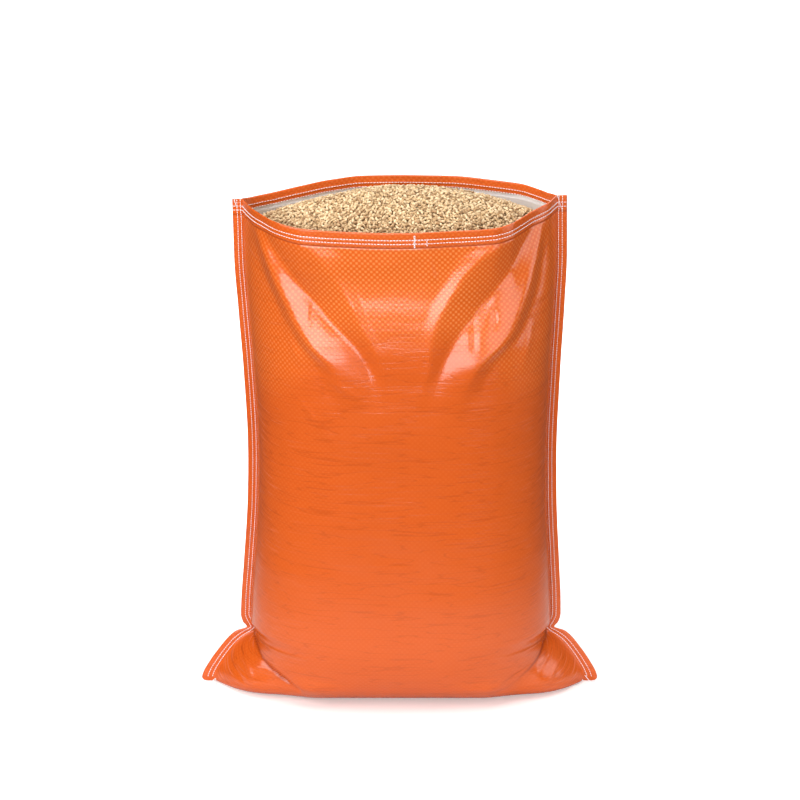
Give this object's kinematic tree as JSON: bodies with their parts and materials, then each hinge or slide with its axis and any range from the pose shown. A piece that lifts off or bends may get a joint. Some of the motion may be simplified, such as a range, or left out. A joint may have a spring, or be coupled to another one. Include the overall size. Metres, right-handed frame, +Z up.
{
  "type": "woven plastic grain sack, open and full",
  "caption": "Upright orange coated woven plastic sack with sewn side seams, open hemmed mouth and flat bottom ears, filled to the brim with wheat grain.",
  "frame": {"origin": "middle of the flat underside, on the floor", "axes": "+Z up through the mouth; the sewn side seams stand at -X and +X; the front panel faces -Y"},
  "size_m": [0.5991, 0.2705, 0.776],
  "materials": {
    "coated_weave": "glossy coated plastic weave, orange outside and white inside",
    "grain": "matte dry kernels",
    "thread": "white polyester sewing thread"
  },
  "bodies": {
    "root": {"sack_fabric": "coated_weave", "grain_fill": "grain", "hem_stitch_front_upper": "thread", "hem_stitch_front_lower": "thread", "hem_stitch_back_upper": "thread", "hem_stitch_back_lower": "thread", "side_stitch_left_front_inner": "thread", "side_stitch_left_front_outer": "thread", "side_stitch_left_back_inner": "thread", "side_stitch_left_back_outer": "thread", "side_stitch_right_front_inner": "thread", "side_stitch_right_front_outer": "thread", "side_stitch_right_back_inner": "thread", "side_stitch_right_back_outer": "thread"}
  },
  "joints": []
}
